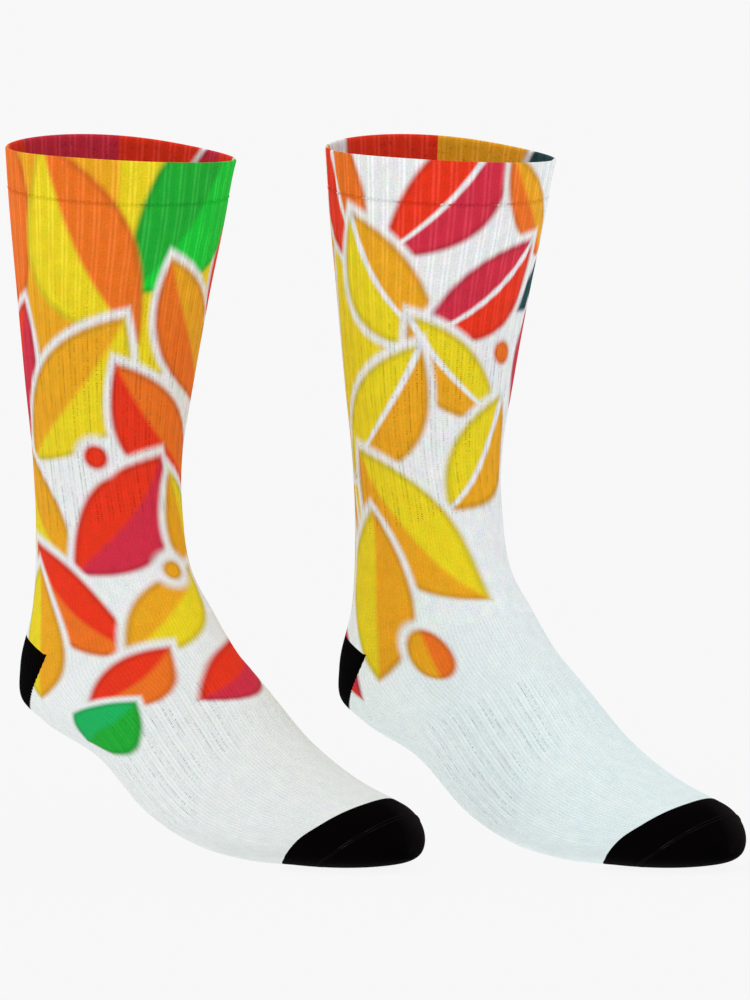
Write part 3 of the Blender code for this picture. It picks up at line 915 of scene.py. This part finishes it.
CUFF_THICKNESS = 1.7
FOLD_ROWS, CUFF_ROWS = 8, 10
CUFF_RELIEF = (0.5, 0.2)  # mm that the ribs and the wales stand up
SEAM_DIP = 0.15  # the cloth rolls in a little where two parts join
SEAM_ROLL = 1.1  # and does so over this much of its length
CHAIN = (2.4, 1.0, 14.0)  # length, width and slant of a chain stitch
CHAIN_IN_FURROW, CHAIN_ON_RIB = 0.55, 0.25  # mm that it lies below the ribs


def rolled_in(ring, angle, start, end):
    """Depth in mm of the soft groove beside an edge of the cloth, or beside both."""
    ring = np.broadcast_to(ring, (len(ring), len(angle)))
    walked = walked_along(ring, angle, OPENING)
    depth = np.zeros(ring.shape)
    if start:
        depth += SEAM_DIP * np.exp(-(((walked - walked[:1]) / SEAM_ROLL) ** 2))
    if end:
        depth += SEAM_DIP * np.exp(-(((walked[-1:] - walked) / SEAM_ROLL) ** 2))
    return depth


for sock in SOCKS:
    angles, coarse = around(COLUMNS), around(WALES)
    half_wall = CUFF_THICKNESS / 2
    turn = np.linspace(0.0, math.pi, 2 * FOLD_ROWS + 1)[:, None]
    rim_step = half_wall / (RING_GAPS[0] / 2)
    fold_ring = rim_step * (1 - np.sin(turn))
    fold_depth = half_wall * (1 - np.cos(turn)) * np.ones(len(angles))
    skirt = rows_between(np.array([CUFF_FOOT]), np.array([rim_step]), CUFF_ROWS)
    skirt_depth = rolled_in(skirt[::-1], angles, False, True)[::-1]
    outer_rings = np.vstack([skirt[:-1], fold_ring])[::-1]
    outer_depth = np.vstack([skirt_depth[:-1], fold_depth])[::-1]
    raised = held(1 - outer_depth / half_wall)
    # The groove's depth also sets the painted shade down in the seam.
    seam = np.vstack([skirt_depth[:-1] / SEAM_DIP, np.zeros(fold_depth.shape)])[::-1]
    outer = skin_of(outer_rings, angles, outer_depth, OPENING, raised, 1.0, seam)
    # The inside carries painted shade, in specks.
    inner = skin_of(skirt[::-1], coarse, CUFF_THICKNESS, OPENING, ribbed=1.0, worn=1.0)
    piece = cloth_piece(sock.name + "_cuff_band", outer, inner, place_of(sock))
    raise_knitting(piece, sock.leg_yarn, *CUFF_RELIEF)

    # One chain stitch to each wale links the band to the leg.
    wales = around(WALES)[:-1] + WALE_ANGLE / 2
    in_furrow = np.abs((wales / WALE_ANGLE + 2.0) % 4.0 - 2.0) < 1.0
    chain = stitch_row(
        sock.name + "_welt_stitches", np.full(WALES, CUFF_FOOT), wales,
        np.where(in_furrow, CHAIN_IN_FURROW, CHAIN_ON_RIB), place_of(sock),
        sock.leg_yarn, *CHAIN)
    declare(
        piece, sock, "cuff", "printed_knit_" + sock.number,
        stitches=[chain])


# ------------------------------------------------------------------- the legs
# The leg is the same two-and-two rib in one layer.  Pairs of raised wales run
# down it with a furrow between each pair, and where the rib is stretched round
# the shin the furrows open into two files of tiny holes.

THICKNESS = 1.5
OUTER_TO_INNER = 3  # rows of mesh outside to each one inside
LEG_ROWS = 74
LEG_RELIEF = (0.3, 0.07)


def knitted_tube(name, sock, start, end, rows, course_start, ribs, rolls=(False, False)):
    """A stretch of the tube between two edges, given as a ring for each angle."""
    angles, coarse = around(COLUMNS), around(WALES)
    rings = rows_between(start(angles), end(angles), rows)
    depth = rolled_in(rings, angles, *rolls)
    # The groove beside a seam also sets the painted shade there.
    outer = skin_of(
        rings, angles, depth, course_start(angles), 1.0, ribs(rings, angles), depth / SEAM_DIP)
    rings = rows_between(start(coarse), end(coarse), rows // OUTER_TO_INNER)
    # The inside carries painted shade, in specks.
    inner = skin_of(
        rings, coarse, THICKNESS, course_start(coarse), ribbed=ribs(rings, coarse), worn=1.0)
    return cloth_piece(name, outer, inner, place_of(sock))


def level(ring):
    """An edge that follows one ring."""
    return lambda angle: np.full(len(angle), ring)


def all_ribs(rings, angles):
    return np.ones((len(rings), len(angles)))


for sock in SOCKS:
    piece = knitted_tube(
        sock.name + "_ribbed_leg", sock, level(CUFF_FOOT), level(RIB_END), LEG_ROWS,
        level(OPENING), all_ribs, (True, False))
    raise_knitting(piece, sock.leg_yarn, *LEG_RELIEF)
    declare(piece, sock, "leg", "printed_knit_" + sock.number)


# ----------------------------------------------------------------- the ankles
# Below the ribs the tube is plain knitting: the wales run on, and only their
# small round cords are raised.  It ends at the heel behind and the instep in front.

HEEL_HALF_WALES = 31  # the heel reaches this far round from the back
HEEL_LINE = 7.07  # ring on which its two corners lie
HEEL_RISE = 0.7  # rings it climbs up the back
HEEL_DROP = 1.45  # and reaches down under the foot
HEEL_TOP_FULLNESS, HEEL_BOTTOM_FULLNESS = 2.5, 4
RIB_FADE = 0.06  # rings over which the ribs die out
ANKLE_ROWS = 30


def heel_share(angle, exponent):
    """1 at the middle of the heel, falling to 0 at its corners."""
    from_back = np.abs(angle % 360 - 180)
    return 1 - held(from_back / (HEEL_HALF_WALES * WALE_ANGLE)) ** exponent


def heel_top(angle):
    return HEEL_LINE - HEEL_RISE * heel_share(angle, HEEL_TOP_FULLNESS)


def rib_ends(rings, angles):
    """The ribs die out in the first courses below their last."""
    return held(1 - (rings - RIB_END) / RIB_FADE) * np.ones(len(angles))


for sock in SOCKS:
    piece = knitted_tube(
        sock.name + "_plain_ankle", sock, level(RIB_END), heel_top, ANKLE_ROWS,
        level(OPENING), rib_ends)
    raise_knitting(piece, sock.leg_yarn, *LEG_RELIEF)
    declare(
        piece, sock, "ankle", "printed_knit_" + sock.number)


# ------------------------------------------------------------------ the heels
# The heel is a pouch of black yarn, knitted back and forth.  Its upper edge is a
# smooth course, and along its lower one, the gore, each wale ends in a small tooth.

GORE_TOOTH = 1.0  # mm
TOOTH_START = 6  # the teeth are full from a sixth of the way up the gore
HEEL_ROWS, HEEL_INNER_ROWS = 26, 13
HEEL_RELIEF = (0.4, 0.12)
BLACK_DYE = dye(8, 5, 6)
# Painted sheen on the toe, also the colour of bare black yarn.
SHEEN_AND_BARE_GREY = dye(34, 29, 30)
BLACK_FINISH = (0.01, 0.0, 0.0, 1.0)  # gloss, fuzz, tint, and how much painted shade lies down in the furrows


def black(tree):
    """Black yarn, with a painted sheen drawn in grey over one side of the toe's tip."""
    return mixed(tree, read_map(tree, "worn", "Fac"), BLACK_DYE, SHEEN_AND_BARE_GREY), SHEEN_AND_BARE_GREY


BLACK_KNIT = knitted_yarn("Black knit", black, STITCH_DEPTH, HOLE_PAINTED_SHADE, *BLACK_FINISH)


def heel_bottom(angle):
    """The gore line, with a tooth for each wale that it crosses."""
    tooth = np.abs(2 * (angle / WALE_ANGLE % 1.0) - 1)
    full = held(TOOTH_START * heel_share(angle, 1))
    toothed = GORE_TOOTH / RING_GAPS[HEEL_BACK] * tooth * full
    return HEEL_LINE + HEEL_DROP * heel_share(angle, HEEL_BOTTOM_FULLNESS) + toothed


for sock in SOCKS:
    steps = HEEL_HALF_WALES * WALE_COLUMNS
    angles = 180 + np.arange(-steps, steps + 1) * 360.0 / COLUMNS
    coarse = angles[::WALE_COLUMNS]
    rings = rows_between(heel_top(angles), heel_bottom(angles), HEEL_ROWS)
    outer = skin_of(rings, angles, 0.0, heel_top(angles), 1.0)
    rings = rows_between(heel_top(coarse), heel_bottom(coarse), HEEL_INNER_ROWS)
    inner = skin_of(rings, coarse, THICKNESS, heel_top(coarse))
    piece = cloth_piece(sock.name + "_heel_pouch", outer, inner, place_of(sock))
    raise_knitting(piece, BLACK_KNIT, *HEEL_RELIEF)
    declare(piece, sock, "heel", "black_knit")


# ------------------------------------------------------------------- the feet
# The foot is plain again, in white yarn with a breath of grey.  Round the arch a
# band is knitted tighter, and the files of tiny holes come back there, fainter.

FOOT_ROWS = 72
FOOT_RELIEF = (0.3, 0.14)
BAND_START, BAND_END = 9.9, 12.0  # rings
BAND_FADE = 0.22
BAND_STRENGTH = 0.9
BAND_WAVES = ((0.10, 3, 0), (0.07, 7, 40))  # rings, waves round, and first angle
UNDER_START, UNDER_FADE, UNDER_LOSS = 0.3, 0.5, 0.65  # fainter under the foot
OVER_START, OVER_FADE, OVER_LOSS = 0.78, 0.12, 0.6  # and on top of it
TOE_EDGE_BACK = 0.02  # rings the toe cap's edge lies back towards the heel
TOE_EDGE_BOWS = (  # and more at these places: middle, half width, rings
    (195.0, 54.0, 0.25), (40.0, 65.0, 0.13), (281.0, 22.0, 0.03))


def turned_from(angle, middle):
    """Degrees round from a middle angle, on either side of it."""
    return np.abs((angle - middle + 180.0) % 360.0 - 180.0)


def arch_band(rings, angles):
    """Strength of the ribs of the band round the arch."""
    uneven = sum(
        height * np.sin(np.radians(waves * angles + first)) for height, waves, first in BAND_WAVES)
    from_start = held((rings - BAND_START + uneven) / BAND_FADE)
    from_end = held((BAND_END - rings + uneven) / BAND_FADE)
    upward = np.cos(np.radians(angles))
    under = held((-upward - UNDER_START) / UNDER_FADE)
    over = held((upward - OVER_START) / OVER_FADE)
    left = 1 - UNDER_LOSS * under - OVER_LOSS * over
    return BAND_STRENGTH * from_start * from_end * left


def toe_edge(angle):
    """The edge of the toe cap, which bows back under the foot and on its top."""
    ring = np.full(len(angle), TOE_EDGE - TOE_EDGE_BACK)
    for middle, half_width, back in TOE_EDGE_BOWS:
        away = held(turned_from(angle, middle) / half_width)
        ring -= back * np.cos(away * math.pi / 2) ** 2
    return ring


for sock in SOCKS:
    piece = knitted_tube(
        sock.name + "_plain_foot", sock, heel_bottom, toe_edge, FOOT_ROWS, toe_edge, arch_band)
    raise_knitting(piece, sock.foot_yarn, *FOOT_RELIEF)
    declare(piece, sock, "foot", "foot_knit_" + sock.number)


# ------------------------------------------------------------------- the toes
# The toe is a rounded cap of the same black yarn, knitted to the shape and closed
# by a linked seam that runs across its top.

TOE_COLUMNS = WALES * 2
TOE_ROWS = (14, 8, 26)  # before the seam, across it, and on to the tip
TOE_INNER = 2  # the inside has half of them
TOE_SEAM_MIDDLE = -28.0  # the toe is drawn on a little turned, and its seam with it
TOE_SEAM_TOP = 0.455  # how far on its middle lies, from edge 0 to tip 1
TOE_SEAM_DROP = 0.28  # how far it runs back towards the edge at its ends
TOE_SEAM_TURN, TOE_SEAM_END = 5.0, 122.0  # degrees round from its middle
TOE_SEAM_FADE = 8  # it sinks into the cloth over the last eighth
TOE_SEAM_HALF = 1.0  # mm
TOE_SEAM_RISE = 0.35  # mm
TOE_STITCH = (0.9, 0.45)  # length and width
TOE_STITCH_SLANT = 40.0
TOE_STITCH_RISE = 0.15  # mm that it stands over the cap
TOE_STITCH_SPACING = 0.75  # mm from the seam's crest to each row of stitches
SHEEN_SIDE = 53.0  # degrees round to the side that carries the painted sheen
SHEEN_LEAST, SHEEN_SPREAD = 0.5, 0.45  # cosines of the turn from it
SHEEN_START = 0.2  # from edge 0 to tip 1: where the painted sheen is full,
SHEEN_FADE, SHEEN_FADED = 0.35, 0.75  # and from where to where it fades
SHEEN_LOSS = 0.7
TOE_THREAD_DYE = dye(24, 21, 20)
# Painted highlight: the thread is drawn paler in stretches.
THREAD_HIGHLIGHT = dye(58, 53, 46)
THREAD_FINISH = (0.0, 0.0, 0.05, 0.0, 0.3)  # no stitches or gaps; gloss, fuzz and tint
HIGHLIGHT_SCALES = (55.0, 55.0, 1.0)
HIGHLIGHT_START, HIGHLIGHT_FULL = 0.55, 0.72


def toe_thread(tree):
    """The seam's thread, with a painted highlight that makes it paler in one or two stretches."""
    highlit = graded(soft_noise(read_map(tree, "Print"), HIGHLIGHT_SCALES), HIGHLIGHT_START, HIGHLIGHT_FULL)
    return mixed(tree, highlit, TOE_THREAD_DYE, THREAD_HIGHLIGHT), TOE_THREAD_DYE


TOE_THREAD = knitted_yarn("Toe seam thread", toe_thread, *THREAD_FINISH)


def toe_seam(angle):
    """The seam's ring at each angle, and how much of it is left there."""
    from_middle = turned_from(angle, TOE_SEAM_MIDDLE)
    turn = held((from_middle - TOE_SEAM_TURN) / (TOE_SEAM_END - TOE_SEAM_TURN))
    ring = TOE_EDGE + TOE_SEAM_TOP - TOE_SEAM_DROP * turn**2 * (3 - 2 * turn)
    return ring, held(TOE_SEAM_FADE * (1 - from_middle / TOE_SEAM_END))


def rings_per_mm(ring, angle):
    there = outline(ring + SLOPE_STEP, angle) - outline(ring - SLOPE_STEP, angle)
    return 2 * SLOPE_STEP / np.linalg.norm(there, axis=-1)


def toe_rings(angle, coarser=1):
    """Rows of the cap, closer together across the seam."""
    seam_ring, _ = toe_seam(angle)
    half = TOE_SEAM_HALF * rings_per_mm(seam_ring, angle)
    tip = np.full(len(angle), TOE_TIP)
    before = rows_between(toe_edge(angle), seam_ring - half, TOE_ROWS[0] // coarser)
    across = rows_between(seam_ring - half, seam_ring + half, TOE_ROWS[1] // coarser)
    after = rows_between(seam_ring + half, tip, TOE_ROWS[2] // coarser)
    return np.vstack([before[:-1], across, after[1:]])


for sock in SOCKS:
    angles, coarse = around(TOE_COLUMNS), around(WALES)
    rings = toe_rings(angles)
    seam_ring, left = toe_seam(angles)
    from_crest = (rings - seam_ring) / (TOE_SEAM_HALF * rings_per_mm(seam_ring, angles))
    ridge = np.cos(np.clip(from_crest, -1.0, 1.0) * math.pi / 2) ** 2
    # Painted sheen: the cap is drawn greyer towards one side of its tip.
    past_edge = rings - TOE_EDGE
    to_side = (np.cos(np.radians(angles - SHEEN_SIDE)) - SHEEN_LEAST) / SHEEN_SPREAD
    fading = held((past_edge - SHEEN_FADE) / (SHEEN_FADED - SHEEN_FADE))
    worn = held(past_edge / SHEEN_START) * (1 - SHEEN_LOSS * fading)
    worn = worn * held(to_side)
    outer = skin_of(rings, angles, -TOE_SEAM_RISE * left * ridge, toe_edge(angles), worn=worn)
    inner = skin_of(toe_rings(coarse, TOE_INNER), coarse, THICKNESS, toe_edge(coarse))
    piece = cloth_piece(sock.name + "_toe_cap", outer, inner, place_of(sock))
    raise_knitting(piece, BLACK_KNIT, 0.0, 0.0)

    # Two rows of small slanted stitches hold the seam, one along each flank.
    end_wale = int(TOE_SEAM_END / WALE_ANGLE) - 1
    seam_angles = TOE_SEAM_MIDDLE + (np.arange(-end_wale, end_wale) + 0.5) * WALE_ANGLE
    seam_ring, _ = toe_seam(seam_angles)
    spacing = TOE_STITCH_SPACING * rings_per_mm(seam_ring, seam_angles)
    rows = []
    for side, word in ((-1, "first"), (1, "second")):
        rows.append(
            stitch_row(
                sock.name + "_toe_stitches_" + word, seam_ring + side * spacing, seam_angles,
                -TOE_STITCH_RISE, place_of(sock), TOE_THREAD, *TOE_STITCH,
                TOE_STITCH_SLANT * side))
    declare(
        piece, sock, "toe", "black_knit", stitches=rows)


# ------------------------------------------------- the floor, light and camera
# A pale studio: the pair stands on white paper that is lit until it has no edge,
# with one broad light high on the camera's left.

FLOOR_SIZE = 60.0
FLOOR_GAP = 0.5  # mm, for the roundness of the knitting under the toes
FLOOR_HEIGHT = -(OPENING_HEIGHT + FLOOR_GAP) * METRES
PAPER_GREY = (0.04, 0.04, 0.04, 1.0)
PAPER_GLOW = 0.895
STUDIO_GLOW = 0.97
bpy.ops.mesh.primitive_plane_add(size=FLOOR_SIZE, location=(0.0, 0.0, FLOOR_HEIGHT))
floor = bpy.context.object
floor.name = "paper_floor"
paper = bpy.data.materials.new("Lit paper")
paper.use_nodes = True
feed(paper.node_tree.nodes["Principled BSDF"], {
    "Base Color": PAPER_GREY,
    "Roughness": 1.0,
    "Specular IOR Level": 0.0,
    "Emission Color": WHITE,
    "Emission Strength": PAPER_GLOW,
})
floor.data.materials.append(paper)

world = bpy.data.worlds.new("White studio")
world.use_nodes = True
feed(world.node_tree.nodes["Background"], {"Color": WHITE, "Strength": STUDIO_GLOW})
bpy.context.scene.world = world

VIEW_TURN = 42.0  # degrees round from the side of the sock
VIEW_LIFT = 5.0  # degrees above level
VIEW_DISTANCE = 20.0  # from far off, as through a long lens
VIEW_END = 100.0  # metres that the camera sees
VIEW_HEIGHT = 0.4878  # metres of the scene from top to bottom
VIEW_RIGHT, VIEW_DOWN = 0.1241, 0.1703  # middle of the picture from the first opening
LIGHT_STRENGTH = 0.22
LIGHT_BREADTH = 50.0  # degrees
LIGHT_FROM_OVERHEAD, LIGHT_LEFT = 48.0, 40.0  # degrees, the second from the camera

softbox = bpy.data.lights.new("Broad light", "SUN")
softbox.energy = LIGHT_STRENGTH
softbox.angle = math.radians(LIGHT_BREADTH)
softbox_object = put_in_scene("Broad light", softbox)
softbox_object.rotation_euler = (
    math.radians(LIGHT_FROM_OVERHEAD), 0.0, math.radians(VIEW_TURN - LIGHT_LEFT))

lens = bpy.data.cameras.new("Camera")
lens.type = "PERSP"
lens.sensor_fit = "VERTICAL"
lens.angle = 2 * math.atan(VIEW_HEIGHT / 2 / VIEW_DISTANCE)
lens.clip_end = VIEW_END
camera = put_in_scene("Camera", lens)
camera.rotation_euler = (math.radians(90 - VIEW_LIFT), 0.0, math.radians(VIEW_TURN))
turned = camera.rotation_euler.to_matrix()
camera.location = turned @ Vector((VIEW_RIGHT, -VIEW_DOWN, VIEW_DISTANCE))
bpy.context.scene.camera = camera
bpy.context.scene.view_settings.view_transform = "Standard"
